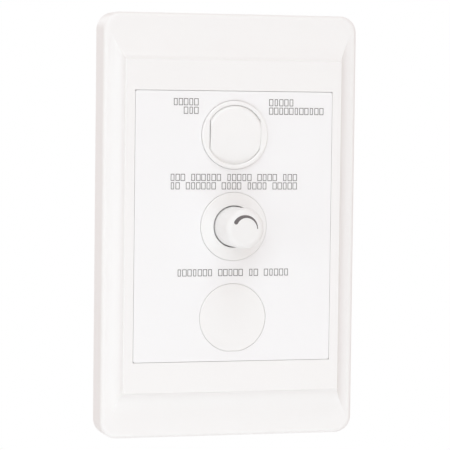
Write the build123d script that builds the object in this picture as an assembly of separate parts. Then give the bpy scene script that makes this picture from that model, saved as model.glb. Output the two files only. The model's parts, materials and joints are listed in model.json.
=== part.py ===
from build123d import *
import math
import os

# Timed fan speed controller: a wall plate with a rocker switch, a speed knob and a blanking disc.
# Millimetres. Everything is modelled lying on its back: X to the right, Y up the wall and
# Z out of the wall, which is the plane Z = 0. save() stands each piece up, so that in the
# files X is to the right, Z is up the wall and the front faces -Y.

# Plate
PLATE_W, PLATE_H = 72.0, 116.0      # outline of the surround
PLATE_R = 4.6                       # corner radius seen from the front
LAND = 9.3                          # height of the flat border above the wall
FACE = 12.5                         # height of the raised panel above the wall
PANEL_W, PANEL_H = 61.4, 90.8       # raised panel
COVE_SIDE, COVE_END = 3.6, 8.0      # width of the concave cove beside and above the panel
WALL = 1.8                          # moulded wall thickness
LABEL_W, LABEL_H = 56.0, 74.0       # window for the printed face
LABEL_T = 0.3
GAP = 0.1                           # hairline gap between parts that can be taken apart

# Modules, one above the other
PITCH = 25.0
SWITCH_Y, KNOB_Y, BLANK_Y = PITCH, 0.0, -PITCH
COLLAR_R = 9.35                     # collar that shows through the printed face
HOLE_FIT = 0.02                     # the collars fit the grid closely, and the printed face by GAP
COLLAR_FLAT = 9.15                  # keying flat of the blanking disc, below its centre
FLANGE_R = 11.2                     # flange behind the grid
FLANGE_HALF_H = 9.8
BODY_HALF = 9.5                     # half width of a module's square body

# Mounting grid
GRID_W, GRID_H, GRID_T = 66.0, 110.0, 3.0
SKIN_TOP = FACE - LABEL_T           # front of the grid's raised part
SKIN_BACK = SKIN_TOP - 1.4
SCREW_CENTRES = 84.0                # mounting screws, one above the other
SCREW_SLOT = (7.0, 4.4)             # length and width, so that the plate can be levelled
STUD_R = 1.75                       # M3.5 thread
SNAP_X, SNAP_Y = 22.0, 50.0         # surround's pegs and the grid's sockets
SNAP_R = 1.8
RIB_X, RIB_T = 11.6, 1.2            # stiffening ribs in the surround's hollow ends
NOTCH = 1.2                         # notch under the lower edge, for prising the surround off

# Rocker switch
BEZEL_TOP = FACE + 0.8
LIP_BACK = FACE - 0.3               # the narrow lip of the opening's flat sides ends here
OPENING_R, OPENING_FLAT = 7.85, 7.12
OPENING_FLAT_BEHIND = 7.4           # the opening is wider behind the lip
PIVOT_Z = 9.4
OPENING_SPHERE = math.hypot(OPENING_R, BEZEL_TOP - PIVOT_Z)
ROCKER_SPHERE = OPENING_SPHERE - 0.05
ROCKER_SIDES = (-7.0, 7.06)         # the rocker's end float is taken up to the right
ROCKER_EDGE, OPENING_EDGE = 0.8, 0.45    # rounding of the rocker's ends and of the opening
SKIRT_HALF = 7.76                   # half length of the rocker's skirt, inside the switch body
PIVOT_R = 1.0
ROCKER_TILT = 7.0                   # each way from level
RIDGE = 4.35                        # ridge above the pivot
STEM_R, STEM_END = 2.2, -3.6        # tube under the rocker, end measured from the pivot
PLUNGER_TIP = -5.8
FULCRUM_Z = 2.9
SEESAW_HALF, SEESAW_T = 6.2, 0.6
CONTACT_Y = 5.0                     # contact rivet from the fulcrum
SWITCH_BACK = -6.0

# Speed control
KNOB_R_BACK, KNOB_R_FRONT = 5.45, 5.4
KNOB_BACK, KNOB_FRONT = FACE - 0.8, FACE + 11.7
KNOB_EDGE = 1.6                     # rounding of the knob's front edge
KNOB_HOLE_R = 5.77
SHAFT_R = 3.0
POT_R, POT_FRONT, POT_BACK = 8.0, 7.0, -4.0
POT_PIN_X = (-5.0, 0.0, 5.0)

# Electronics behind the wall plane
BOARD_W, BOARD_H, BOARD_T = 44.0, 67.4, 1.6
BOARD_FRONT = -12.0
BOARD_BACK = BOARD_FRONT - BOARD_T
TUB_W, TUB_H, TUB_R, TUB_BACK = 49.0, 73.0, 2.5, -30.0
SEAT = 1.0                          # depth of the seat for the tub's rim in the back of the grid
TUB_FRONT = SEAT - 0.02
CORNER_X, CORNER_Y = 21.0, 32.5     # housing screws
POST_R = 2.7                        # posts for the housing screws, let into the grid's side walls
HOUSING_SCREW_R = 0.94
HOUSING_SCREW_SEAT = -6.0           # the heads sit this deep in their wells
POST_X, POST_Y = 19.0, 15.0         # board screws
BOARD_SCREW_R = 0.95
VENTS = 5                           # slots in the tub's top wall
BLOCK_Y = (-34.4, -22.6)            # terminal block, up the wall
BLOCK_BACK = TUB_BACK - 0.4
WAY_X = (-10.0, 0.0, 10.0)          # one terminal each
WAY_Y = -29.2
WIRE_R, WIRE_DEPTH = 1.6, 9.4
CLAMP_SCREW_R = 1.1

CLEAR = 0.05                        # clearance of pieces fixed in a pocket
EPS = 0.01


def block(x, y, z):
    """A box between two values on each axis."""
    centre = [(a + b) / 2 for a, b in (x, y, z)]
    return Pos(*centre) * Box(*[abs(b - a) for a, b in (x, y, z)])


def rod(radius, z, x=0.0, y=0.0):
    """A cylinder that points out of the wall, between two heights."""
    return Pos(x, y, (z[0] + z[1]) / 2) * Cylinder(radius, abs(z[1] - z[0]))


def along_y(radius, y):
    """A cylinder up the wall, between two values of Y."""
    return Pos(0, (y[0] + y[1]) / 2, 0) * Rot(90, 0, 0) * Cylinder(radius, abs(y[1] - y[0]))


def slab(width, height, radius, z):
    """A rectangle with rounded corners, between two heights."""
    low, high = min(z), max(z)
    return Pos(0, 0, low) * extrude(RectangleRounded(width, height, radius), high - low)


def at_corners(x, y):
    """The four places that lie at the same distance from both centre lines."""
    return [(sx * x, sy * y) for sx in (1, -1) for sy in (1, -1)]


def flatted(radius, flat, z, y=0.0):
    """A disc with its keying flat at the bottom."""
    return rod(radius, z, y=y) & block((-radius, radius), (y - flat, y + radius), z)


def module_hole(y, z, gap):
    """The hole for one module: round, with the keying flat where the blanking disc goes."""
    return flatted(COLLAR_R + gap, COLLAR_FLAT + gap, z, y) if y == BLANK_Y else rod(COLLAR_R + gap, z, y=y)


def prism_yz(points, half_length):
    """A polygon in Y and Z, as a prism along X."""
    return extrude(Plane.YZ * make_face(Polyline(points, close=True)), half_length, both=True)


def save(node, shape):
    solids = shape.solids()
    whole = solids[0] if len(solids) == 1 else Compound(children=solids)
    export_step(Rot(90, 0, 0) * whole, f"parts/{node}.step")


# ---------------------------------------------------------------- plate and grid

def coved_block(half_top, cove, half_length):
    """The raised panel across one direction: a quarter ellipse each side up to the flat top."""
    rise, base = FACE - LAND, LAND - 1.0
    foot = half_top + cove
    right = EllipticalCenterArc((foot, FACE), cove, rise, 180, arc_size=90)
    left = EllipticalCenterArc((-foot, FACE), cove, rise, 270, arc_size=90)
    sides = [
        right,
        Line((foot, LAND), (foot, base)),
        Line((foot, base), (-foot, base)),
        Line((-foot, base), (-foot, LAND)),
        left,
        Line((-half_top, FACE), (half_top, FACE)),
    ]
    return extrude(Plane.XZ * make_face(sides), half_length, both=True)


def surround():
    plate = slab(PLATE_W, PLATE_H, PLATE_R, (0, LAND))
    plate = fillet(plate.faces().sort_by(Axis.Z)[-1].edges(), 1.3)
    across = coved_block(PANEL_W / 2, COVE_SIDE, PLATE_H / 2)
    along = Rot(0, 0, 90) * coved_block(PANEL_H / 2, COVE_END, PLATE_W / 2)
    raised = across & along
    top = raised.faces().sort_by(Axis.Z)[-1]
    raised = chamfer(top.edges(), 0.2)
    body = plate + raised
    # hollow border, deeper under the two ends of the panel
    rim = 1.2
    rim_w, rim_h = LABEL_W + 2 * rim, LABEL_H + 2 * rim
    hollow = slab(PLATE_W - 2 * WALL, PLATE_H - 2 * WALL, PLATE_R - WALL, (-1, LAND - WALL))
    hollow -= block((-rim_w / 2, rim_w / 2), (-rim_h / 2, rim_h / 2), (-2, LAND))
    for side in (1, -1):
        ends = sorted((side * (rim_h / 2), side * (PANEL_H / 2 - WALL)))
        hollow += block((-rim_w / 2, rim_w / 2), ends, (LAND - WALL - 1, FACE - 2.0))
    body -= hollow
    body -= block((-LABEL_W / 2, LABEL_W / 2), (-LABEL_H / 2, LABEL_H / 2), (-1, FACE + 1))
    # the rim round the window stops short of the grid
    body -= block((-rim_w / 2, rim_w / 2), (-rim_h / 2, rim_h / 2), (-1, GRID_T + 0.4))
    # pegs, two stiffening ribs at each end, and the notch for prising the cover off
    under = LAND - WALL + 0.5
    for x, y in at_corners(SNAP_X, SNAP_Y):
        body += rod(SNAP_R, (0.8, under), x, y)
    for x, y in at_corners(RIB_X, (46.0 + PLATE_H / 2 - WALL + 0.5) / 2):
        rib_half = (PLATE_H / 2 - WALL + 0.5 - 46.0) / 2
        body += block((x - RIB_T / 2, x + RIB_T / 2), (y - rib_half, y + rib_half), (GRID_T + 0.6, under))
    return body - block((-4, 4), (-PLATE_H / 2 - 1, -PLATE_H / 2 + WALL + 1), (-1, NOTCH))


def grid_plate():
    grid = slab(GRID_W, GRID_H, 3.0, (0, GRID_T))
    raised_w, raised_h = LABEL_W - 2 * GAP, LABEL_H - 2 * GAP
    grid += slab(raised_w, raised_h, 0.5, (0, SKIN_TOP))
    grid -= slab(raised_w - 2 * WALL, raised_h - 2 * WALL, 0.5, (2.2, SKIN_BACK))
    grid -= slab(TUB_W - 2 * WALL, TUB_H - 2 * WALL, TUB_R - WALL, (-1, 3))
    grid -= slab(TUB_W + 2 * CLEAR, TUB_H + 2 * CLEAR, TUB_R + CLEAR, (-1, SEAT))
    for y in (SWITCH_Y, KNOB_Y, BLANK_Y):
        grid -= module_hole(y, (0, FACE + 1), HOLE_FIT)
        for side in (1, -1):
            grid += snap_finger(side, y)
    for y in (SCREW_CENTRES / 2, -SCREW_CENTRES / 2):
        grid -= Pos(0, y, -1) * extrude(SlotOverall(*SCREW_SLOT), GRID_T + 2)
    for x, y in at_corners(SNAP_X, SNAP_Y):
        grid += rod(SNAP_R + 1.4, (0, GRID_T + 1.2), x, y)
        grid -= rod(SNAP_R + 0.15, (-1, GRID_T + 2), x, y)
    # posts that take the housing screws
    for x, y in at_corners(CORNER_X, CORNER_Y):
        grid += rod(POST_R, (SEAT, SKIN_BACK + 0.5), x, y)
        grid -= rod(HOUSING_SCREW_R + EPS, (-1, SKIN_BACK - 1), x, y)
    return grid


def snap_finger(side, y):
    """Finger behind the grid that holds a module's flange."""
    outer, inner = FLANGE_R + 1.5, FLANGE_R + 0.15
    wall = block(sorted((side * inner, side * outer)), (y - 3, y + 3), (6.6, SKIN_BACK + 0.3))
    hook = block(sorted((side * 10.0, side * outer)), (y - 3, y + 3), (6.6, 7.85))
    return wall + hook


def face_label():
    width, height = LABEL_W - 2 * GAP, LABEL_H - 2 * GAP
    sheet = slab(width, height, 0.5, (SKIN_TOP, FACE))
    for y in (SWITCH_Y, KNOB_Y, BLANK_Y):
        sheet -= module_hole(y, (SKIN_TOP - 1, FACE + 1), GAP)
    return sheet


def mounting_screws():
    screws = []
    for y in (SCREW_CENTRES / 2, -SCREW_CENTRES / 2):
        head = fillet(rod(3.4, (GRID_T, GRID_T + 2.2)).edges().sort_by(Axis.Z)[-1], 1.0)
        recess = block((-2, 2), (-0.45, 0.45), (GRID_T + 1.0, GRID_T + 3))
        head -= recess + Rot(0, 0, 90) * recess
        neck = rod(1.6, (-0.3, GRID_T + 0.2))
        thread = chamfer(rod(STUD_R, (-22, -0.3)).edges().sort_by(Axis.Z)[0], 0.6)
        screws.append(Pos(0, y, 0) * (head + neck + thread))
    return Compound(children=screws)


# ---------------------------------------------------------------- rocker switch

def flanged(collar, flange_back):
    """A collar on its flange, which is cut straight above and below."""
    z = (flange_back, SKIN_BACK - CLEAR)
    return collar + (rod(FLANGE_R, z) & block((-FLANGE_R, FLANGE_R), (-FLANGE_HALF_H, FLANGE_HALF_H), z))


def front_edges(collar):
    return collar.faces().sort_by(Axis.Z)[-1].edges()


def switch_bezel():
    """The opening follows a sphere about the pivot, so the rocker's ends keep their gap as it tilts."""
    collar = rod(COLLAR_R, (SKIN_BACK - 1, BEZEL_TOP))
    collar = fillet(front_edges(collar), 0.5)
    bezel = flanged(collar, 8.0)
    opening = Pos(0, 0, PIVOT_Z) * Sphere(OPENING_SPHERE)
    for flat, z in ((OPENING_FLAT, (LIP_BACK - EPS, BEZEL_TOP + 1)), (OPENING_FLAT_BEHIND, (7, LIP_BACK))):
        bezel -= opening & block((-flat, flat), (-COLLAR_R, COLLAR_R), z)
    bezel = fillet(front_edges(bezel).filter_by(lambda e: e.length < 3 * OPENING_R), OPENING_EDGE)
    bezel -= Pos(0, 0, PIVOT_Z) * Rot(0, 90, 0) * Cylinder(PIVOT_R + 0.01, 18.2)
    return Pos(0, SWITCH_Y, 0) * bezel


def rocker_level():
    """The rocker level, with its pivot at the origin."""
    reach = ROCKER_SPHERE
    drop = reach * math.tan(math.radians(ROCKER_TILT))
    half = [(reach, RIDGE - drop), (reach, 2.0), (SKIRT_HALF, 0.5), (SKIRT_HALF, -1.6)]
    outline = [(0, RIDGE), *half, *[(-y, z) for y, z in reversed(half)]]
    left, right = ROCKER_SIDES
    body = Pos((left + right) / 2, 0, 0) * prism_yz(outline, (right - left) / 2)
    ridge = body.edges().filter_by(Axis.X).sort_by(Axis.Z)[-1]
    body = fillet(ridge, 9.0) & Sphere(ROCKER_SPHERE)
    ends = body.edges().filter_by(lambda e: abs(e.center().Y) > 7 and e.center().Z > 2 and abs(e.center().X) < 1)
    body = fillet(ends, ROCKER_EDGE)
    inside = rod(6.4, (-3, 1.0)) & block((-5.5, 5.5), (-7, 7), (-3, 1.0))
    body -= inside - block((-5.5, 5.5), (-2.2, 2.2), (-3, 2)) - rod(STEM_R, (-3, 2))
    body += rod(STEM_R, (STEM_END, 0))
    body -= Rot(0, 90, 0) * Cylinder(PIVOT_R + 0.05, 20)
    return body - rod(1.25, (STEM_END - 1, -1.3))


def tilted(shape, sense=1):
    """From level about the pivot or fulcrum at the origin; sense 1 brings the top out."""
    return Rot(sense * ROCKER_TILT, 0, 0) * shape


def at_pivot(shape):
    return Pos(0, SWITCH_Y, PIVOT_Z) * shape


def rocker():
    return at_pivot(tilted(rocker_level()))


def rocker_pivot_pin():
    return at_pivot(Rot(0, 90, 0) * Cylinder(PIVOT_R, 18.0))


def rocker_spring():
    wire, radius = 0.15, 0.75
    top, bottom = -1.35, -3.75
    path = Helix(pitch=0.48, height=top - bottom - 2 * wire, radius=radius)
    start = path @ 0
    section = Plane(start, z_dir=path % 0) * Circle(wire)
    coil = sweep(section, path=path)
    return at_pivot(tilted(Pos(0, 0, bottom + wire) * coil))


def rocker_plunger():
    head = rod(1.2, (-5.0, -3.78))
    tip = Pos(0, 0, PLUNGER_TIP + 1.1) * Sphere(1.1)
    return at_pivot(tilted(head + (tip & block((-2, 2), (-2, 2), (PLUNGER_TIP, -4.4)))))


def seesaw_contact():
    strip = block((-2.0, 2.0), (-SEESAW_HALF, SEESAW_HALF), (0, SEESAW_T))
    strip += rod(1.2, (-0.5, 0.1), y=CONTACT_Y)
    strip = fillet(strip.edges().filter_by(Axis.Z), 0.5)
    return Pos(0, SWITCH_Y, FULCRUM_Z) * tilted(strip, -1)


def common_terminal():
    wedge = prism_yz([(0, -0.02), (0.5, -0.9), (0.5, -2.6), (-0.5, -2.6), (-0.5, -0.9)], 1.8)
    foot = block((-1.8, 1.8), (-1.6, 1.6), (SWITCH_BACK + 1.0 - FULCRUM_Z, -2.5))
    tab = block((-1.2, 1.2), (-0.3, 0.3), (SWITCH_BACK - 2.5 - FULCRUM_Z, -2.5))
    return Pos(0, SWITCH_Y, FULCRUM_Z) * (wedge + foot + tab)


def load_terminal():
    low = FULCRUM_Z - 0.5 - (CONTACT_Y + 1.2) * math.sin(math.radians(ROCKER_TILT)) - 0.05
    rivet = rod(1.2, (low - 0.5, low), y=CONTACT_Y)
    shelf = block((-1.8, 1.8), (CONTACT_Y - 1.6, CONTACT_Y + 1.9), (low - 1.1, low - 0.4))
    tab = block((-1.2, 1.2), (CONTACT_Y + 1.3, CONTACT_Y + 1.9), (SWITCH_BACK - 2.5, low - 1.0))
    return Pos(0, SWITCH_Y, 0) * (rivet + shelf + tab)


def switch_body():
    half, wall = BODY_HALF, 1.0
    body = block((-half, half), (-half, half), (SWITCH_BACK, 7.98))
    body = fillet(body.edges().filter_by(Axis.Z), 1.0)
    body -= block((-half + wall, half - wall), (-half + wall, half - wall), (SWITCH_BACK + wall, 9))
    for y in (0, CONTACT_Y + 1.6):
        body -= block((-1.25, 1.25), (y - 0.35, y + 0.35), (SWITCH_BACK - 1, 0))
    return Pos(0, SWITCH_Y, 0) * body


# ---------------------------------------------------------------- speed control

def knob_bezel():
    collar = rod(COLLAR_R, (SKIN_BACK - 1, FACE + 0.3))
    bezel = flanged(chamfer(front_edges(collar), 0.15), 8.0)
    bezel -= rod(KNOB_HOLE_R, (9.6, FACE + 1))
    return bezel - rod(3.35, (7, 12))


def speed_knob():
    height = KNOB_FRONT - KNOB_BACK
    body = Pos(0, 0, KNOB_BACK + height / 2) * Cone(KNOB_R_BACK, KNOB_R_FRONT, height)
    body = fillet(body.edges().sort_by(Axis.Z)[-1], KNOB_EDGE)
    ring = rod(KNOB_R_FRONT - 1.1, (KNOB_BACK - 1, KNOB_FRONT - 2.4)) - rod(3.8, (0, 40))
    bore = rod(SHAFT_R + 0.01, (KNOB_BACK - 1, KNOB_FRONT - 3.5))
    bore &= block((-4, 4), (-SHAFT_R, 1.5 + 0.01), (0, 40))
    return body - ring - bore - rod(KNOB_R_FRONT - 1.1, (KNOB_BACK - 1, KNOB_BACK + 0.4))


def pot_shaft():
    shaft = rod(SHAFT_R, (POT_BACK + 2.4, KNOB_FRONT - 3.6))
    return shaft - block((-4, 4), (1.5, 4), (KNOB_BACK, 40))


def pot_wiper():
    z = (POT_BACK + 2.5, POT_BACK + 3.5)
    disc = rod(5.6, z) - rod(SHAFT_R, (-9, 9))
    finger = block((-0.9, 0.9), (3.4, 5.9), (POT_BACK + 2.2, POT_BACK + 2.6))
    return disc + finger


def pot_body():
    can = fillet(rod(POT_R, (POT_BACK, POT_FRONT)).edges(), 0.6)
    can -= rod(POT_R - 0.6, (POT_BACK + 1.0, POT_FRONT - 1.6))
    bushing = rod(3.3, (POT_FRONT - 0.6, 11.3))
    can = can + bushing - rod(SHAFT_R + 0.05, (POT_BACK + 1.5, 20))
    return can


def pot_track():
    z = POT_BACK + 1.0
    wafer = rod(POT_R - 0.7, (z + CLEAR, z + 0.8)) - rod(SHAFT_R - 0.6, (-9, 9))
    track = rod(6.6, (z + 0.8, z + 1.1)) - rod(4.2, (-9, 9))
    # the track is open at the bottom, between its two ends
    gap = make_face(Polyline([(0, 0), (6, -9), (-6, -9)], close=True))
    return wafer + (track - Pos(0, 0, z + 0.7) * extrude(gap, 2))


def pot_nut():
    across_flats, back, front = 8.0, 9.62, 11.2
    nut = extrude(RegularPolygon(across_flats / 2, 6, major_radius=False), front - back)
    return Pos(0, 0, back) * nut - rod(3.31, (back - 1, front + 1))


def pot_pins():
    z = (BOARD_BACK - 1.2, POT_BACK - EPS)
    return Compound(children=[block((x - 0.4, x + 0.4), (-0.25, 0.25), z) for x in POT_PIN_X])


def blanking_disc():
    collar = flatted(COLLAR_R, COLLAR_FLAT, (SKIN_BACK - 1, FACE + 0.05))
    disc = flanged(chamfer(front_edges(collar), 0.12), 9.0)
    disc -= rod(COLLAR_R - 1.3, (5, FACE - 1.5))
    return Pos(0, BLANK_Y, 0) * disc


# ---------------------------------------------------------------- electronics

def circuit_board():
    board = slab(BOARD_W, BOARD_H, 0.6, (BOARD_BACK, BOARD_FRONT))
    through = (BOARD_BACK - 1, BOARD_FRONT + 1)
    for x, y in at_corners(CORNER_X, CORNER_Y):
        board -= rod(3.6, through, x, y)
    for x, y in at_corners(POST_X, POST_Y):
        board -= rod(1.15, through, x, y)
    for x in POT_PIN_X:
        board -= block((x - 0.45, x + 0.45), (-0.3, 0.3), through)
    return board


def board_screws():
    head = fillet(rod(1.9, (BOARD_FRONT, BOARD_FRONT + 1.4)).edges().sort_by(Axis.Z)[-1], 0.6)
    head -= block((-1.2, 1.2), (-0.25, 0.25), (BOARD_FRONT + 0.7, BOARD_FRONT + 2))
    screw = head + rod(BOARD_SCREW_R, (BOARD_BACK - 6, BOARD_FRONT + 0.2))
    return Compound(children=[Pos(x, y, 0) * screw for x, y in at_corners(POST_X, POST_Y)])


def on_board(shape, x, y):
    """Components are modelled hanging from the board's back, which is Z = 0 in their own frame."""
    return Pos(x, y, BOARD_BACK) * shape


TRIAC_X, TRIAC_Y = -11.4, 24.0
SINK_T = 1.0
TAB_HOLE_Z = -12.4


def triac():
    """A flat package standing on its three legs, its metal tab against the heat sink."""
    body = block((-5, 5), (-2.2, 2.2), (-10.4, -2.6))
    body = fillet(body.edges().filter_by(Axis.Z), 0.3)
    tab = block((-5, 5), (0.9, 2.2), (-14.3, -10.3)) - Pos(0, 0, TAB_HOLE_Z) * along_y(1.6, (-2, 4))
    pins = [block((x - 0.4, x + 0.4), (-0.3, 0.3), (-2.8, -EPS)) for x in (-2.54, 0, 2.54)]
    whole = body + tab
    for pin in pins:
        whole += pin
    return on_board(whole, TRIAC_X, TRIAC_Y)


def heat_sink():
    """Folded aluminium sheet behind the triac, with a foot along the board."""
    face, base = 2.25, -0.4
    sheet = block((-7, 7), (face, face + SINK_T), (-14.4, base))
    sheet += block((-7, 7), (face, face + 4.5), (base - SINK_T, base))
    fold = sheet.edges().filter_by(Axis.X).filter_by_position(Axis.Y, face - EPS, face + EPS)
    sheet = fillet(fold.sort_by(Axis.Z)[-1], 0.8)
    return on_board(sheet - Pos(0, 0, TAB_HOLE_Z) * along_y(1.3, (0, 9)), TRIAC_X, TRIAC_Y)


def triac_screw():
    screw = along_y(1.9, (-0.7, 0.88)) + along_y(1.27, (0.8, 5.2))
    screw -= block((-2.5, 2.5), (-1, -0.1), (-0.3, 0.3))
    return on_board(Pos(0, 0, TAB_HOLE_Z) * screw, TRIAC_X, TRIAC_Y)


CHOKE_X, CHOKE_Y, CHOKE_Z = 9.5, 22.0, -6.2


def choke_core():
    """Toroid lying flat under the board."""
    ring = rod(7.6, (CHOKE_Z - 2.6, CHOKE_Z + 2.6)) - rod(4.2, (-20, 0))
    return on_board(fillet(ring.edges(), 0.6), CHOKE_X, CHOKE_Y)


def choke_winding():
    """Turns of enamelled wire round the toroid, each a closed loop."""
    turns, inner, outer, half, wire = 22, 3.5, 8.3, 3.3, 0.42
    loop = Rectangle(outer - inner, 2 * half)
    loop = Pos((inner + outer) / 2, 0) * loop
    path = Plane.XZ * fillet(loop.vertices(), 1.1).face().outer_wire()
    section = Plane((outer, 0, 0), z_dir=(0, 0, 1)) * Circle(wire)
    turn = sweep(section, path=path)
    loops = [Rot(0, 0, 300.0 * i / (turns - 1) + 30) * turn for i in range(turns)]
    return on_board(Pos(0, 0, CHOKE_Z) * Compound(children=loops), CHOKE_X, CHOKE_Y)


def film_capacitor():
    case = block((-9, 9), (-3.5, 3.5), (-13.0, -0.6))
    case = fillet(case.edges().filter_by(Axis.Z), 0.8)
    for x in (-7.5, 7.5):
        case += rod(0.4, (-1, -EPS), x)
    return on_board(case, -3.0, 7.5)


def electrolytic_capacitor():
    can = fillet(rod(4.0, (-12.5, -0.8)).edges().sort_by(Axis.Z)[0], 0.7)
    groove = rod(4.5, (-3.2, -2.6)) - rod(3.75, (-4, -2))
    can -= groove
    can -= block((-2.6, 2.6), (-0.2, 0.2), (-12.7, -12.3)) + block((-0.2, 0.2), (-2.6, 2.6), (-12.7, -12.3))
    for x in (-1.75, 1.75):
        can += rod(0.3, (-1, -EPS), x)
    return on_board(can, 13.0, 6.2)


def timer_chip():
    """Dual-in-line package with eight legs."""
    body = block((-3.2, 3.2), (-4.8, 4.8), (-4.3, -1.0))
    body = chamfer(body.edges().filter_by(Axis.Z), 0.3)
    body -= rod(0.9, (-4.6, -4.0), y=4.8)
    for side in (1, -1):
        for i in range(4):
            y = (i - 1.5) * 2.54
            body += block(sorted((side * 3.1, side * 4.0)), (y - 0.7, y + 0.7), (-2.9, -2.5))
            body += block(sorted((side * 3.7, side * 4.0)), (y - 0.25, y + 0.25), (-2.9, -EPS))
    return on_board(body, -13.0, -7.0)


def resistors():
    """Axial resistors, each with its two bent legs."""
    parts = []
    for x in (-4.0, -0.5, 3.0):
        body = Pos(0, 0, -2.0) * Rot(90, 0, 0) * Cylinder(1.1, 4.4)
        body = fillet(body.edges(), 0.4)
        for side in (1, -1):
            cap = Pos(0, side * 2.0, -2.0) * Rot(90, 0, 0) * Cylinder(1.25, 1.2)
            body += fillet(cap.edges(), 0.4)
            body += Pos(0, side * 3.3, -2.0) * Rot(90, 0, 0) * Cylinder(0.3, 1.9)
            body += rod(0.3, (-2.0, -EPS), y=side * 4.1)
        parts.append(Pos(x, 0, 0) * body)
    return on_board(Compound(children=parts), 0, -8.0)


FUSE_X, FUSE_Y, FUSE_Z = 13.5, -9.0, -4.6


def fuse_body():
    tube = along_y(2.2, (-6.5, 6.5)) - along_y(1.6, (-7, 7))
    return on_board(Pos(0, 0, FUSE_Z) * tube, FUSE_X, FUSE_Y)


def fuse_caps():
    """Metal end caps and the spring clips that hold them to the board."""
    parts = []
    for side in (1, -1):
        low, high = sorted((side * 6.0, side * 9.6))
        cap = along_y(2.55, (low, high)) - along_y(2.22, sorted((side * 5.0, side * 6.5)))
        centre = side * 8.0
        clip = along_y(2.95, (centre - 1.3, centre + 1.3)) - along_y(2.57, (centre - 3, centre + 3))
        clip -= block((-2.2, 2.2), (centre - 3, centre + 3), (-5, -1.2))
        clip += block((-1.6, 1.6), (centre - 1.3, centre + 1.3), (2.75, 3.4))
        clip += block((-0.4, 0.4), (centre - 0.4, centre + 0.4), (3.3, -FUSE_Z - EPS))
        parts += [Pos(0, 0, FUSE_Z) * cap, Pos(0, 0, FUSE_Z) * clip]
    return on_board(Compound(children=parts), FUSE_X, FUSE_Y)


# ---------------------------------------------------------------- terminals and housing

CLAMP_HALF = 3.1
CLAMP_Y = (-32.6, -25.8)
CLAMP_Z = (BLOCK_BACK, BLOCK_BACK + WIRE_DEPTH)
CLAMP_SCREW_Z = BLOCK_BACK + WIRE_DEPTH / 2


def terminal_block():
    body = block((-15, 15), BLOCK_Y, (BLOCK_BACK, BOARD_BACK - EPS))
    body = fillet(body.edges().filter_by(Axis.Z), 0.5)
    for x in WAY_X:
        pocket_x = (x - CLAMP_HALF - CLEAR, x + CLAMP_HALF + CLEAR)
        pocket_y = (CLAMP_Y[0] - CLEAR, CLAMP_Y[1] + CLEAR)
        body -= block(pocket_x, pocket_y, (BLOCK_BACK - 1, CLAMP_Z[1] + CLEAR))
        body -= Pos(x, 0, CLAMP_SCREW_Z) * along_y(1.7, (-40, CLAMP_Y[0] + 1))
    groove_y = (BLOCK_Y[0] - 1, BLOCK_Y[1] + 1)
    for x in (-5, 5):
        body -= block((x - 0.4, x + 0.4), groove_y, (BLOCK_BACK - 1, BLOCK_BACK + 2))
    return body


def terminal_clamps():
    clamps = []
    for x in WAY_X:
        clamp = block((x - CLAMP_HALF, x + CLAMP_HALF), CLAMP_Y, CLAMP_Z)
        clamp = fillet(clamp.edges().filter_by(Axis.Z), 0.5)
        clamp -= rod(WIRE_R, (BLOCK_BACK - 1, CLAMP_Z[1] + 1), x, WAY_Y)
        clamp -= Pos(x, 0, CLAMP_SCREW_Z) * along_y(CLAMP_SCREW_R + 0.03, (-40, WAY_Y))
        clamps.append(clamp)
    return Compound(children=clamps)


def terminal_screws():
    screws = []
    for x in WAY_X:
        tip = WAY_Y - WIRE_R - 0.12
        end = CLAMP_Y[0] - CLEAR
        screw = along_y(CLAMP_SCREW_R, (end - 0.5, tip)) + along_y(1.6, (end - 1.4, end))
        screw -= block((-2, 2), (end - 2, end - 0.8), (-0.25, 0.25))
        screws.append(Pos(x, 0, CLAMP_SCREW_Z) * screw)
    return Compound(children=screws)


def rear_housing():
    outside = slab(TUB_W, TUB_H, TUB_R, (TUB_BACK, TUB_FRONT))
    tub = fillet(outside.faces().sort_by(Axis.Z)[0].edges(), 1.2)
    tub -= slab(TUB_W - 2 * WALL, TUB_H - 2 * WALL, TUB_R - WALL, (TUB_BACK + WALL, 3))
    for x, y in at_corners(CORNER_X, CORNER_Y):
        tub += rod(2.9, (TUB_BACK + 0.5, TUB_FRONT), x, y) & outside
        tub -= rod(2.15, (TUB_BACK - 1, HOUSING_SCREW_SEAT), x, y)
        tub -= rod(1.25, (HOUSING_SCREW_SEAT - 1, 3), x, y)
    for x, y in at_corners(POST_X, POST_Y):
        tub += rod(2.4, (TUB_BACK + WALL - 0.2, BOARD_BACK), x, y)
        tub -= rod(BOARD_SCREW_R + 0.03, (BOARD_BACK - 7, BOARD_BACK + 1), x, y)
    # window for the terminals, holes for the screwdriver, vents over the heat sink
    tub -= block((-15.2, 15.2), (BLOCK_Y[0] - 0.2, BLOCK_Y[1] + 0.2), (TUB_BACK - 1, TUB_BACK + WALL + 1))
    for x in WAY_X:
        tub -= Pos(x, 0, CLAMP_SCREW_Z) * along_y(1.9, (-40, -32))
    for i in range(VENTS):
        x = (i - (VENTS - 1) / 2) * 5.0
        tub -= block((x - 0.8, x + 0.8), (28, 40), (-26, -14))
    return tub


def housing_screws():
    seat, back = HOUSING_SCREW_SEAT, HOUSING_SCREW_SEAT - 1.8
    recess = block((-1.4, 1.4), (-0.3, 0.3), (back - 1, back + 0.6))
    head = rod(2.0, (back, seat)) - recess - Rot(0, 0, 90) * recess
    screw = head + rod(HOUSING_SCREW_R, (seat - 0.2, SKIN_BACK - 1.5))
    return Compound(children=[Pos(x, y, 0) * screw for x, y in at_corners(CORNER_X, CORNER_Y)])


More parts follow.
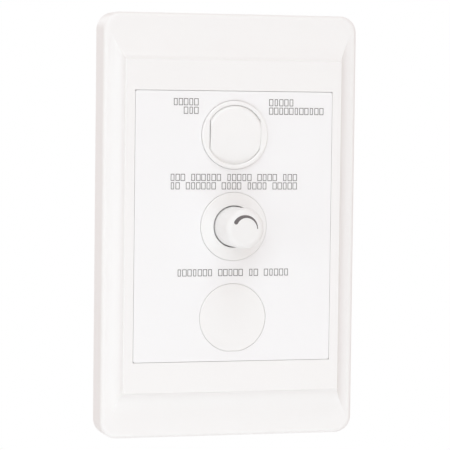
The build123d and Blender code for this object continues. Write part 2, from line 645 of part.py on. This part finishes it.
def switch_wires():
    """Two insulated links from the switch's tabs to the board."""
    wires = []
    top, bottom = SWITCH_BACK - 2.5 - 0.02, BOARD_FRONT + 0.02
    middle = (top + bottom) / 2
    for y, x in ((0, 5.0), (CONTACT_Y + 1.6, -5.0)):
        points = [(0, y, top), (0, y, middle), (x, y, middle), (x, y, bottom)]
        path = FilletPolyline(*points, radius=1.2)
        section = Plane(points[0], z_dir=(0, 0, -1)) * Circle(0.65)
        wires.append(Pos(0, SWITCH_Y, 0) * sweep(section, path=path))
    return Compound(children=wires)


PIECES = [
    surround, grid_plate, face_label, mounting_screws,
    switch_bezel, rocker, rocker_pivot_pin, rocker_spring, rocker_plunger, seesaw_contact,
    common_terminal, load_terminal, switch_body,
    knob_bezel, speed_knob, pot_shaft, pot_wiper, pot_body, pot_track, pot_nut, pot_pins,
    blanking_disc,
    circuit_board, board_screws, triac, heat_sink, triac_screw, choke_core, choke_winding,
    film_capacitor, electrolytic_capacitor, timer_chip, resistors, fuse_body, fuse_caps,
    terminal_block, terminal_clamps, terminal_screws, rear_housing, housing_screws, switch_wires,
]

os.makedirs("parts", exist_ok=True)
for piece in PIECES:
    save(piece.__name__, piece())
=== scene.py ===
import json
import math

import bmesh
import bpy
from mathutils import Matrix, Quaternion, Vector


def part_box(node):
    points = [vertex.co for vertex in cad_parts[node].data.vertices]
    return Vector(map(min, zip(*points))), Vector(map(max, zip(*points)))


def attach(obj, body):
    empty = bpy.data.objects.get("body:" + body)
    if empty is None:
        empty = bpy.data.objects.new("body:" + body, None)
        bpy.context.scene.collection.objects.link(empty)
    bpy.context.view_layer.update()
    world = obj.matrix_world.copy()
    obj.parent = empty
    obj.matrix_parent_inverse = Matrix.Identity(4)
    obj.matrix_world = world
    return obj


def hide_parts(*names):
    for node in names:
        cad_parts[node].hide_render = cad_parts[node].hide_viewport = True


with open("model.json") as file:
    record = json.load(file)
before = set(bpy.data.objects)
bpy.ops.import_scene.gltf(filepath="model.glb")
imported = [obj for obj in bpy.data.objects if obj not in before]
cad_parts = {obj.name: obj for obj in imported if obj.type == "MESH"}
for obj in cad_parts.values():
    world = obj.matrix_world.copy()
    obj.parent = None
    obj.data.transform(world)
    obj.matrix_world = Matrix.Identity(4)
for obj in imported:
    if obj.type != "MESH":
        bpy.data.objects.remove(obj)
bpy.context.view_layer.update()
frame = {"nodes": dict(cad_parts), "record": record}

# Timed fan speed controller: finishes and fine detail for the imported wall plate.
# Metres, in the row's frame: X to the right, Z up the wall, the front faces -Y, Y = 0 is the wall.

MM = 0.001

# Camera, aimed near the middle of the wall plane
AZIMUTH, ELEVATION, ROLL = math.radians(-16.13), math.radians(3.04), math.radians(0.68)
CAMERA_DISTANCE = 645.6 * MM
AIM_RIGHT, AIM_UP = 1.15 * MM, -0.26 * MM
LENS, SENSOR = 185.5, 36.0

# Studio: soft lamps, each with its place, the width of its disc and its watts
LAMPS = {
    "overhead": ((0.0, -0.90, 1.80), 1.0, 7.5),
    "side": ((-1.90, -0.70, 0.10), 1.0, 3.0),
    "key": ((-0.80, -1.60, 1.00), 1.0, 5.4),
    "front": ((-1.10, -1.70, 0.20), 1.0, 1.4),
    "low_fill": ((0.0, -0.45, -0.54), 0.6, 1.2),
    "rear": ((-0.9, 1.8, 0.9), 1.0, 6.0),
}
LAMP_COLOUR = (0.784, 0.943, 1.0)
AMBIENT, AMBIENT_COLOUR = 0.722, (1.0, 0.893, 0.867)
FLOOR_Z, FLOOR_HALF = -0.6, 3.0
FLOOR_COLOUR, FLOOR_SHADE = (0.9, 0.9, 0.9), (0.88, 0.88, 0.88)

# Print on the face label: height, stroke and usual width of the marks, the cell that holds each,
# and the shares of the usual width that they vary between
CAP, STROKE, MARK_W, CELL = 1.9 * MM, 0.18 * MM, 1.0 * MM, 1.45 * MM
MARK_SHARES = (1.0, 0.85, 1.05, 0.7)
INK_T = 0.02 * MM
PRINT_INK, KNOB_INK = (0.17, 0.16, 0.155), (0.15, 0.135, 0.135)

# Lines of marks in millimetres: the side they are aligned to, its X, the height of the line's
# middle, and the marks in each word
PRINT_LINES = [
    ("right", -10.2, 33.9, (5,)),
    ("right", -10.2, 31.6, (3,)),
    ("left", 9.6, 33.9, (5,)),
    ("left", 9.6, 31.6, (11,)),
    ("centre", 0.0, 13.4, (3, 6, 5, 4, 3)),
    ("centre", 0.0, 11.1, (2, 6, 4, 4, 5)),
    ("centre", 0.0, -12.6, (7, 5, 2, 5)),
]

# Knob mark: an arc that tapers clockwise from its fat end
ARC_CENTRE = (-0.2 * MM, 0.1 * MM)
ARC_R, ARC_FAT, ARC_THIN = 3.6 * MM, 1.15 * MM, 0.2 * MM
ARC_START, ARC_END = math.radians(147), math.radians(-2)

# Relief on the back of the tub: a frame, ejector pin marks, and one, two and three dots over the
# wire ways. EJECTOR_PLACES and WAYS_X are in millimetres.
RELIEF_T = 0.3 * MM
RELIEF_FRAME, RELIEF_FRAME_Z = (34.0 * MM, 42.0 * MM), 7.5 * MM
RELIEF_EDGE, RELIEF_CORNER = 0.8 * MM, 2.5 * MM
EJECTOR_R, EJECTOR_EDGE, EJECTOR_T = 1.6 * MM, 0.25 * MM, RELIEF_T / 3
EJECTOR_PLACES = ((-12.0, 23.0), (12.0, 23.0), (-12.0, -8.0), (12.0, -8.0))
DOT_R, DOT_PITCH, DOT_Z = 0.45 * MM, 1.7 * MM, -19.6 * MM
WAYS_X = (-10.0, 0.0, 10.0)

# Mounting screw: M3.5 thread, which starts a little inside the neck that is kept below the head
THREAD_R, THREAD_PITCH, THREAD_DEPTH = 1.75 * MM, 0.6 * MM, 0.33 * MM
THREAD_CHAMFER, NECK_END, NECK_OVERLAP = 0.6 * MM, 0.25 * MM, 0.3 * MM

# Where one node has more than one finish, in millimetres: package bodies and the legs past them,
# and the sleeve's stripe and end, measured back from the sides of the can
TRIAC_MIDDLE, TRIAC_HALF = 6.5, 3.86
CHIP_HALF = 3.25
RESISTOR_HALF = 2.62
RESISTOR_BAND_HALF = 0.25
RESISTOR_BANDS = (
    (-1.9, (0.16, 0.06, 0.02)),
    (-0.8, (0.02, 0.02, 0.02)),
    (0.1, (0.35, 0.03, 0.02)),
    (1.9, (0.45, 0.30, 0.06)),
)
SLEEVE_STRIPE, SLEEVE_END = 1.2, 0.35
TINNED, CAN_METAL = (0.62, 0.62, 0.63), (0.74, 0.75, 0.76)

# The knob is a shade darker than the other modules
KNOB_SHADE = 0.965

SMOOTH_ANGLE = math.radians(40)


# ---------------------------------------------------------------- camera and studio

def make_camera():
    back = Vector((math.sin(AZIMUTH) * math.cos(ELEVATION),
                   -math.cos(AZIMUTH) * math.cos(ELEVATION), math.sin(ELEVATION)))
    right = Vector((math.cos(AZIMUTH), math.sin(AZIMUTH), 0))
    aim = right * AIM_RIGHT + back.cross(right) * AIM_UP
    data = bpy.data.cameras.new("camera")
    data.lens, data.sensor_width = LENS, SENSOR
    camera = bpy.data.objects.new("camera", data)
    bpy.context.scene.collection.objects.link(camera)
    camera.location = back * CAMERA_DISTANCE
    camera.rotation_mode = "QUATERNION"
    look = (aim - camera.location).to_track_quat("-Z", "Y")
    camera.rotation_quaternion = look @ Quaternion((0, 0, 1), ROLL)
    bpy.context.scene.camera = camera


def white_to_camera(tree, lit_shader, target):
    """The camera sees target as plain white, while the light it gives comes from lit_shader."""
    kind = "Background" if target.bl_idname.endswith("World") else "Emission"
    white = tree.nodes.new("ShaderNode" + kind)
    mix = tree.nodes.new("ShaderNodeMixShader")
    ray = tree.nodes.new("ShaderNodeLightPath")
    tree.links.new(ray.outputs["Is Camera Ray"], mix.inputs[0])
    tree.links.new(lit_shader.outputs[0], mix.inputs[1])
    tree.links.new(white.outputs[0], mix.inputs[2])
    tree.links.new(mix.outputs[0], target.inputs["Surface"])
    white.inputs["Color"].default_value = (1, 1, 1, 1)
    white.inputs["Strength"].default_value = 1.0


def make_world():
    world = bpy.data.worlds.new("studio")
    bpy.context.scene.world = world
    world.use_nodes = True
    ambient = world.node_tree.nodes["Background"]
    ambient.inputs["Color"].default_value = (*AMBIENT_COLOUR, 1)
    ambient.inputs["Strength"].default_value = AMBIENT
    white_to_camera(world.node_tree, ambient, world.node_tree.nodes["World Output"])
    bpy.context.scene.view_settings.view_transform = "Standard"


def make_lamp(name, place, width, watts):
    data = bpy.data.lights.new(name, "AREA")
    data.shape, data.size, data.energy, data.color = "DISK", width, watts, LAMP_COLOUR
    lamp = bpy.data.objects.new(name, data)
    bpy.context.scene.collection.objects.link(lamp)
    lamp.location = Vector(place)
    lamp.rotation_euler = (-lamp.location).to_track_quat("-Z", "Y").to_euler()


def make_floor():
    signs = ((-1, -1), (1, -1), (1, 1), (-1, 1))
    corners = [(x * FLOOR_HALF, y * FLOOR_HALF, FLOOR_Z) for x, y in signs]
    mesh = bpy.data.meshes.new("floor")
    mesh.from_pydata(corners, [], [(0, 1, 2, 3)])
    floor = bpy.data.objects.new("floor", mesh)
    bpy.context.scene.collection.objects.link(floor)
    paint = Paint("floor_white", FLOOR_COLOUR, 0.8)
    paint.tint(FLOOR_SHADE, paint.noise(60))
    white_to_camera(paint.material.node_tree, paint.shader, paint.nodes["Material Output"])
    mesh.materials.append(paint.material)


# ---------------------------------------------------------------- materials

class Paint:
    """One material: a Principled shader and the nodes that feed it, placed in millimetres."""

    def __init__(self, name, colour, roughness, **sockets):
        self.material = bpy.data.materials.new(name)
        self.material.use_nodes = True
        self.nodes = self.material.node_tree.nodes
        self.shader = self.nodes["Principled BSDF"]
        self.colour = (*colour, 1)
        self.shader.inputs["Base Color"].default_value = self.colour
        self.shader.inputs["Roughness"].default_value = roughness
        for socket, value in sockets.items():
            self.shader.inputs[socket.replace("_", " ")].default_value = value
        where = self.nodes.new("ShaderNodeTexCoord").outputs["Object"]
        scaled = self.add("VectorMath", {0: where, "Scale": 1 / MM}, operation="SCALE")
        self.place = scaled.outputs[0]
        self.normal = None

    def add(self, kind, inputs, **settings):
        """A new node, with each input set to a value or joined to another node's socket."""
        node = self.nodes.new("ShaderNode" + kind)
        for name, value in settings.items():
            setattr(node, name, value)
        for key, value in inputs.items():
            self.feed(node.inputs[key], value)
        return node

    def feed(self, socket, value):
        if isinstance(value, bpy.types.NodeSocket):
            self.material.node_tree.links.new(value, socket)
        else:
            socket.default_value = value

    def noise(self, size, detail=2.0, stretch=(1, 1, 1)):
        """A cloudy value from 0 to 1, with features about size millimetres across."""
        squeeze = tuple(1 / (size * s) for s in stretch)
        at = self.add("VectorMath", {0: self.place, 1: squeeze}, operation="MULTIPLY").outputs[0]
        return self.add("TexNoise", {"Vector": at, "Scale": 1.0, "Detail": detail}).outputs["Fac"]

    def cells(self, size):
        """Distance from the middle of the nearest of many cells, each about size millimetres."""
        inputs = {"Vector": self.place, "Scale": 1 / size}
        return self.add("TexVoronoi", inputs, feature="F1").outputs["Distance"]

    def axis(self, letter):
        """X, Y or Z in millimetres."""
        return self.add("SeparateXYZ", {0: self.place}).outputs[letter]

    def maths(self, operation, first, second=0.0):
        return self.add("Math", {0: first, 1: second}, operation=operation).outputs[0]

    def spread(self, value, low, high, to_low=0.0, to_high=1.0):
        """value, stretched from low..high to to_low..to_high and clamped there."""
        inputs = {"Value": value, "From Min": low, "From Max": high,
                  "To Min": to_low, "To Max": to_high}
        return self.add("MapRange", inputs).outputs[0]

    def tint(self, colour, amount):
        """Lays another colour over the base colour by a varying amount."""
        mix = self.add("Mix", {0: amount, 6: self.colour, 7: (*colour, 1)}, data_type="RGBA")
        self.colour = mix.outputs[2]
        self.feed(self.shader.inputs["Base Color"], self.colour)

    def vary(self, socket, value, low, high):
        """Drives a shader socket between two limits with a varying value."""
        self.feed(self.shader.inputs[socket], self.spread(value, 0.3, 0.7, low, high))

    def bump(self, height, depth):
        """Raises the surface by up to depth millimetres where height is 1."""
        inputs = {"Height": height, "Distance": depth * MM, "Strength": 1.0}
        if self.normal:
            inputs["Normal"] = self.normal
        self.normal = self.add("Bump", inputs).outputs[0]
        self.feed(self.shader.inputs["Normal"], self.normal)


def darker(colour, share):
    """The colour, scaled by share."""
    return tuple(c * share for c in colour)


def moulded(name, colour, roughness, grain, grain_depth, wave_depth=0.008, **sockets):
    """Moulded plastic: spark-eroded or polished grain, slow flow waves, a faint uneven tone.
    The size of the grain and both depths are in millimetres."""
    paint = Paint(name, colour, roughness, **sockets)
    paint.tint(darker(colour, 0.99), paint.noise(22))
    paint.tint(darker(colour, 0.985), paint.spread(paint.noise(1.4, 4), 0.55, 0.8, 0.0, 0.5))
    paint.vary("Roughness", paint.noise(6, 3), roughness * 0.85, roughness * 1.2)
    paint.bump(paint.noise(14), wave_depth)
    paint.bump(paint.noise(grain, 3), grain_depth)
    return paint


def surround_white(name, colour):
    return moulded(name, colour, 0.34, grain=0.30, grain_depth=0.0025, IOR=1.52).material


def label_white(name, colour):
    """Printed overlay: flatter than the mouldings, with the fine dimples of its laminate."""
    paint = moulded(name, colour, 0.42, grain=0.22, grain_depth=0.0015)
    paint.bump(paint.spread(paint.cells(0.5), 0.0, 0.5), 0.001)
    return paint.material


def module_white(name, colour):
    """Near-polished mouldings: rocker, bezels, knob and blanking disc."""
    paint = moulded(name, colour, 0.36, grain=0.35, grain_depth=0.001, wave_depth=0.004)
    return paint.material


def grid_white(name, colour):
    return moulded(name, colour, 0.5, grain=0.4, grain_depth=0.006).material


def housing_grey(name, colour):
    """Coarse spark-eroded grain with flow lines that run up the tub."""
    paint = moulded(name, colour, 0.58, grain=0.55, grain_depth=0.02)
    flow = paint.noise(3, 3, (1, 1, 6))
    paint.tint(darker(colour, 0.93), paint.spread(flow, 0.45, 0.75, 0, 0.6))
    return paint.material


def terminal_grey(name, colour):
    return moulded(name, colour, 0.46, grain=0.35, grain_depth=0.008).material


def metal(name, colour, roughness, other, run=(1, 1, 1), **sockets):
    """Bare metal: patches of another tone, fine scratches along run and a few deeper ones."""
    paint = Paint(name, colour, roughness, Metallic=1.0, **sockets)
    paint.tint(other, paint.spread(paint.noise(2.4, 3), 0.35, 0.7))
    scratches = paint.noise(0.12, 4, run)
    paint.tint(darker(colour, 0.7), paint.spread(scratches, 0.62, 0.8, 0, 0.6))
    paint.vary("Roughness", paint.noise(0.8, 3, run), roughness * 0.7, roughness * 1.4)
    paint.bump(scratches, 0.006)
    return paint


def steel(name, colour):
    """Zinc plate with its faint blue passivation."""
    return metal(name, colour, 0.3, (0.60, 0.64, 0.70), run=(1, 4, 1)).material


def brass(name, colour):
    return metal(name, colour, 0.28, (0.66, 0.50, 0.24), run=(1, 6, 1)).material


def contact_silver(name, colour):
    return metal(name, colour, 0.24, (0.66, 0.64, 0.58), run=(1, 1, 8)).material


def aluminium(name, colour):
    return metal(name, colour, 0.36, (0.68, 0.69, 0.71), run=(10, 1, 1)).material


def copper(name, colour):
    """Enamelled wire: clear coat over copper, darker where the enamel is thick."""
    paint = metal(name, colour, 0.3, (0.50, 0.20, 0.08), Coat_Weight=0.6, Coat_Roughness=0.12)
    return paint.material


def ferrite(name, colour):
    """Powder-coated core: pimpled coat with sparse light specks."""
    paint = Paint(name, colour, 0.6)
    paint.tint((0.16, 0.16, 0.165), paint.spread(paint.cells(0.5), 0.0, 0.35, 1.0, 0.0))
    paint.vary("Roughness", paint.noise(1.2, 3), 0.5, 0.72)
    paint.bump(paint.spread(paint.cells(0.7), 0.0, 0.7, 1.0, 0.0), 0.05)
    return paint.material


def board_green(name, colour):
    """Solder mask over copper tracks, kept here and there on the 2.54 mm grid."""
    paint = Paint(name, colour, 0.32, Coat_Weight=0.2, Coat_Roughness=0.2)
    flat = paint.add("Mapping", {"Vector": paint.place, "Rotation": (math.pi / 2, 0, 0)}).outputs[0]
    tracks = None
    for pitch, turn in ((2.54, 0.0), (5.08, math.pi / 2)):
        at = paint.add("Mapping", {"Vector": flat, "Rotation": (0, 0, turn)}).outputs[0]
        inputs = {"Vector": at, "Scale": 1.0, "Mortar Size": 0.22, "Mortar Smooth": 0.1,
                  "Brick Width": pitch * 3, "Row Height": pitch}
        lines = paint.add("TexBrick", inputs).outputs["Fac"]
        kept = paint.maths("MULTIPLY", lines, paint.spread(paint.noise(7), 0.48, 0.52))
        tracks = paint.maths("MAXIMUM", tracks, kept) if tracks else kept
    paint.tint((0.10, 0.36, 0.17), tracks)
    paint.tint(darker(colour, 0.8), paint.spread(paint.noise(0.6, 3), 0.5, 0.8, 0, 0.5))
    paint.vary("Roughness", paint.noise(4, 3), 0.26, 0.42)
    paint.bump(tracks, 0.035)
    paint.bump(paint.noise(0.5, 3, (1, 1, 3)), 0.006)
    return paint.material


def film_red(name, colour):
    """Epoxy dip with runs and a thick gloss."""
    paint = Paint(name, colour, 0.22, Coat_Weight=0.6, Coat_Roughness=0.08)
    paint.tint(darker(colour, 0.7), paint.noise(3, 3))
    paint.bump(paint.noise(2.2, 2), 0.10)
    return paint.material


def fuse_glass(name, colour):
    paint = Paint(name, colour, 0.03, Transmission_Weight=1.0, IOR=1.5)
    paint.tint(darker(colour, 0.96), paint.noise(3))
    paint.vary("Roughness", paint.noise(1.5), 0.02, 0.06)
    paint.bump(paint.noise(2.5), 0.01)
    return paint.material


def black_moulding(name, colour):
    return moulded(name, colour, 0.5, grain=0.18, grain_depth=0.008).material


def phenolic(name, colour):
    """Pressed wafer: warm, mottled and matt."""
    return moulded(name, colour, 0.6, grain=0.5, grain_depth=0.02).material


def wire_brown(name, colour):
    """Drawn PVC insulation, with faint lines along it."""
    paint = Paint(name, colour, 0.4, Coat_Weight=0.1, Coat_Roughness=0.3)
    paint.tint(darker(colour, 0.8), paint.noise(0.3, 3, (1, 8, 1)))
    paint.vary("Roughness", paint.noise(1, 2), 0.34, 0.5)
    paint.bump(paint.noise(0.15, 2, (1, 8, 1)), 0.008)
    return paint.material


def black_body(name, colour, legs_by, middle, half):
    """Moulded black package: further than half from its middle along one axis, tinned legs."""
    paint = moulded(name, colour, 0.5, grain=0.18, grain_depth=0.008)
    off = paint.maths("ABSOLUTE", paint.maths("SUBTRACT", paint.axis(legs_by), middle))
    is_metal = paint.maths("GREATER_THAN", off, half)
    paint.tint(TINNED, is_metal)
    paint.feed(paint.shader.inputs["Metallic"], is_metal)
    return paint.material


def resistor_tan(name, colour, middle):
    """Lacquered body with four colour bands, on tinned leads."""
    paint = moulded(name, colour, 0.35, grain=0.25, grain_depth=0.006)
    along = paint.maths("SUBTRACT", paint.axis("Z"), middle)
    for at, band in RESISTOR_BANDS:
        off = paint.maths("ABSOLUTE", paint.maths("SUBTRACT", along, at))
        paint.tint(band, paint.maths("LESS_THAN", off, RESISTOR_BAND_HALF))
    is_lead = paint.maths("GREATER_THAN", paint.maths("ABSOLUTE", along), RESISTOR_HALF)
    paint.tint(TINNED, is_lead)
    paint.feed(paint.shader.inputs["Metallic"], is_lead)
    return paint.material


def sleeve_blue(name, colour, side, end):
    """Shrunk sleeve with its pale polarity stripe, and the bare end of the can."""
    paint = Paint(name, colour, 0.25, Coat_Weight=0.4, Coat_Roughness=0.15)
    paint.tint(darker(colour, 0.75), paint.noise(2.5, 3))
    paint.tint((0.55, 0.57, 0.62), paint.maths("GREATER_THAN", paint.axis("X"), side))
    is_can = paint.maths("GREATER_THAN", paint.axis("Y"), end)
    paint.tint(CAN_METAL, is_can)
    paint.feed(paint.shader.inputs["Metallic"], is_can)
    paint.bump(paint.noise(1.6, 2, (1, 4, 1)), 0.03)
    return paint.material


def ink(name, colour):
    """Screen-printed ink, a little thin and mottled."""
    paint = Paint(name, colour, 0.5)
    thin = tuple(min(1.0, c * 1.5) for c in colour)
    paint.tint(thin, paint.spread(paint.noise(0.25, 3), 0.5, 0.75))
    paint.bump(paint.noise(0.08, 2), 0.003)
    return paint.material


def middle_of(node, letter):
    """Middle of a node's box along one axis, in millimetres."""
    low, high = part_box(node)
    return (getattr(low, letter) + getattr(high, letter)) / 2 / MM


def special_finish(node, colour):
    """Material of a node whose finish isn't its slot's, or None."""
    low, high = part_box(node)
    if node == "speed_knob":
        return module_white(node, darker(colour, KNOB_SHADE))
    if node == "triac":
        return black_body(node, colour, "Y", low.y / MM + TRIAC_MIDDLE, TRIAC_HALF)
    if node == "timer_chip":
        return black_body(node, colour, "X", middle_of(node, "x"), CHIP_HALF)
    if node == "resistors":
        return resistor_tan(node, colour, middle_of(node, "z"))
    if node == "electrolytic_capacitor":
        side, end = high.x / MM - SLEEVE_STRIPE, high.y / MM - SLEEVE_END
        return sleeve_blue(node, colour, side, end)
    return None


FINISHES = {
    "surround_white": surround_white, "label_white": label_white, "grid_white": grid_white,
    "module_white": module_white, "housing_grey": housing_grey, "terminal_grey": terminal_grey,
    "steel": steel, "brass": brass, "contact_silver": contact_silver, "aluminium": aluminium,
    "copper": copper, "ferrite": ferrite, "board_green": board_green, "film_red": film_red,
    "fuse_glass": fuse_glass, "wire_brown": wire_brown, "black_moulding": black_moulding,
    "resistor_tan": phenolic,
}


def paint_frame():
    """Gives each CAD node its material, and returns the materials by slot."""
    record = frame["record"]
    colours = {m["slot"]: m["base_color"][:3] for m in record["materials"]}
    shared = {slot: make(slot, colours[slot]) for slot, make in FINISHES.items() if slot in colours}
    for part in record["subparts"]:
        node, slot = part["node"], part["material_slot"]
        material = special_finish(node, colours[slot]) or shared[slot]
        mesh = frame["nodes"][node].data
        mesh.materials.clear()
        mesh.materials.append(material)
    return shared


# ---------------------------------------------------------------- detail pieces

def make_piece(name, bm, material, body, smooth_angle=None):
    """Turns a bmesh into a piece that rides on a body."""
    bmesh.ops.recalc_face_normals(bm, faces=bm.faces)
    mesh = bpy.data.meshes.new(name)
    bm.to_mesh(mesh)
    bm.free()
    mesh.materials.append(material)
    piece = bpy.data.objects.new(name, mesh)
    bpy.context.scene.collection.objects.link(piece)
    if smooth_angle is not None:
        mesh.shade_smooth()
        mesh.set_sharp_from_angle(angle=smooth_angle)
    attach(piece, body)
    return piece


def raise_outline(bm, outline, back, thickness):
    """A thin raised shape in front of the plane Y = back, from its outline in X and Z."""
    count = len(outline)
    rear = [bm.verts.new((x, back, z)) for x, z in outline]
    front = [bm.verts.new((x, back - thickness, z)) for x, z in outline]
    bm.faces.new(front)
    for i in range(count):
        j = (i + 1) % count
        bm.faces.new((rear[i], rear[j], front[j], front[i]))


def stroke_outline(start, end, width, steps=4):
    """A stroke with round ends between two points."""
    (x0, z0), (x1, z1) = start, end
    lean = math.atan2(z1 - z0, x1 - x0)
    outline = []
    for (x, z), turn in ((end, -math.pi / 2), (start, math.pi / 2)):
        for i in range(steps + 1):
            angle = lean + turn + math.pi * i / steps
            outline.append((x + width / 2 * math.cos(angle), z + width / 2 * math.sin(angle)))
    return outline


def mark_strokes(share):
    """The four sides of a hollow box about the origin, share times as wide as usual."""
    w, h = MARK_W / 2 * share, (CAP - STROKE) / 2
    corners = [(-w, -h), (w, -h), (w, h), (-w, h)]
    return list(zip(corners, corners[1:] + corners[:1]))


def make_print(material):
    """Neutral marks where the real face carries its lines of print."""
    bm = bmesh.new()
    face_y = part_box("face_label")[0].y
    count = 0
    for side, x, z, words in PRINT_LINES:
        cells = sum(words) + len(words) - 1
        shift = {"left": 0.0, "centre": 0.5, "right": 1.0}[side]
        cursor = x * MM - cells * CELL * shift + CELL / 2
        for word in words:
            for _ in range(word):
                count += 1
                share = MARK_SHARES[(count * count + count // 3) % len(MARK_SHARES)]
                for start, end in mark_strokes(share):
                    points = [(cursor + px, z * MM + pz) for px, pz in (start, end)]
                    raise_outline(bm, stroke_outline(*points, STROKE), face_y, INK_T)
                cursor += CELL
            cursor += CELL
    make_piece("face_print", bm, material, "base")


def make_knob_mark(material, steps=36, cap_steps=6):
    """Tapering arc on the knob's face, with a round cap at its fat end."""
    bm = bmesh.new()
    outer, inner = [], []
    for i in range(steps + 1):
        share = i / steps
        angle = ARC_START + (ARC_END - ARC_START) * share
        width = ARC_FAT + (ARC_THIN - ARC_FAT) * share
        for radius, side in ((ARC_R, outer), (ARC_R - width, inner)):
            side.append((radius * math.cos(angle), radius * math.sin(angle)))
    middle = ((outer[0][0] + inner[0][0]) / 2, (outer[0][1] + inner[0][1]) / 2)
    cap = []
    for i in range(1, cap_steps):
        angle = ARC_START + math.pi - math.pi * i / cap_steps
        cap.append((middle[0] + ARC_FAT / 2 * math.cos(angle),
                    middle[1] + ARC_FAT / 2 * math.sin(angle)))
    outline = [(x + ARC_CENTRE[0], z + ARC_CENTRE[1]) for x, z in outer + inner[::-1] + cap]
    raise_outline(bm, outline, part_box("speed_knob")[0].y, INK_T)
    make_piece("knob_arc", bm, material, "knob")


def rounded(width, height, radius, centre, steps=6):
    """Outline of a rectangle with rounded corners, or of a circle where radius is half of both."""
    outline = []
    for quarter, (sx, sz) in enumerate(((1, 1), (-1, 1), (-1, -1), (1, -1))):
        for i in range(steps + 1):
            angle = math.pi / 2 * (quarter + i / steps)
            outline.append((centre[0] + sx * (width / 2 - radius) + radius * math.cos(angle),
                            centre[1] + sz * (height / 2 - radius) + radius * math.sin(angle)))
    return outline


def raise_ring(bm, size, radius, centre, edge, back, thickness):
    """A thin raised band with sloping sides along the inside of a rounded rectangle."""
    slope = abs(thickness) / 2
    top = back - thickness
    rows = []
    for inset, y in ((0.0, back), (slope, top), (edge - slope, top), (edge, back)):
        outline = rounded(size[0] - 2 * inset, size[1] - 2 * inset, radius - inset, centre)
        rows.append([bm.verts.new((x, y, z)) for x, z in outline])
    for first, second in zip(rows, rows[1:]):
        for i in range(len(first)):
            j = (i + 1) % len(first)
            bm.faces.new((first[i], first[j], second[j], second[i]))


def make_housing_relief(material):
    """Frame, ejector marks and way dots in relief on the tub's back, which faces +Y."""
    bm = bmesh.new()
    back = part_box("rear_housing")[1].y
    frame_centre = (0.0, RELIEF_FRAME_Z)
    raise_ring(bm, RELIEF_FRAME, RELIEF_CORNER, frame_centre, RELIEF_EDGE, back, -RELIEF_T)
    ejector_size = (2 * EJECTOR_R, 2 * EJECTOR_R)
    for x, z in EJECTOR_PLACES:
        centre = (x * MM, z * MM)
        raise_ring(bm, ejector_size, EJECTOR_R, centre, EJECTOR_EDGE, back, -EJECTOR_T)
    for dots, x in enumerate(WAYS_X, start=1):
        for i in range(dots):
            place = (x * MM + (i - (dots - 1) / 2) * DOT_PITCH, DOT_Z)
            raise_outline(bm, rounded(2 * DOT_R, 2 * DOT_R, DOT_R, place), back, -RELIEF_T)
    make_piece("housing_relief", bm, material, "base", SMOOTH_ANGLE)


def add_thread(bm, centre_z, start, end, columns=28, rows_per_turn=8):
    """A rod along Y with a V thread and a chamfered tip."""
    step = THREAD_PITCH / rows_per_turn
    rows = round((end - start) / step)
    rings = []
    for i in range(rows + 1):
        y = start + (end - start) * i / rows
        chamfer = max(0.0, THREAD_CHAMFER - (end - y))
        ring = []
        for j in range(columns):
            angle = 2 * math.pi * j / columns
            phase = ((y - start) / THREAD_PITCH - j / columns) % 1.0
            groove = THREAD_DEPTH * (1 - abs(2 * phase - 1))
            radius = min(THREAD_R - groove, THREAD_R - chamfer)
            x, z = radius * math.cos(angle), centre_z + radius * math.sin(angle)
            ring.append(bm.verts.new((x, y, z)))
        rings.append(ring)
    for first, second in zip(rings, rings[1:]):
        for j in range(columns):
            k = (j + 1) % columns
            bm.faces.new((first[j], first[k], second[k], second[j]))
    bm.faces.new(rings[0])
    bm.faces.new(rings[-1][::-1])


def make_screws(material):
    """Mounting screws with a real thread, on the heads of the CAD screws."""
    source = frame["nodes"]["mounting_screws"].data
    bm = bmesh.new()
    bm.from_mesh(source)
    shank = [v for v in bm.verts if v.co.y > NECK_END]
    bmesh.ops.delete(bm, geom=shank, context="VERTS")
    low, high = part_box("mounting_screws")
    head_r = (high.x - low.x) / 2
    for z in (low.z + head_r, high.z - head_r):
        add_thread(bm, z, NECK_END - NECK_OVERLAP, high.y)
    screws = make_piece("mounting_screw_set", bm, material, "base", SMOOTH_ANGLE)
    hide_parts("mounting_screws")


# ---------------------------------------------------------------- the scene

make_camera()
make_world()
for lamp_name, lamp_settings in LAMPS.items():
    make_lamp(lamp_name, *lamp_settings)
make_floor()

slots = paint_frame()
make_print(ink("print_grey", PRINT_INK))
make_knob_mark(ink("knob_print", KNOB_INK))
make_housing_relief(slots["housing_grey"])
make_screws(slots["steel"])
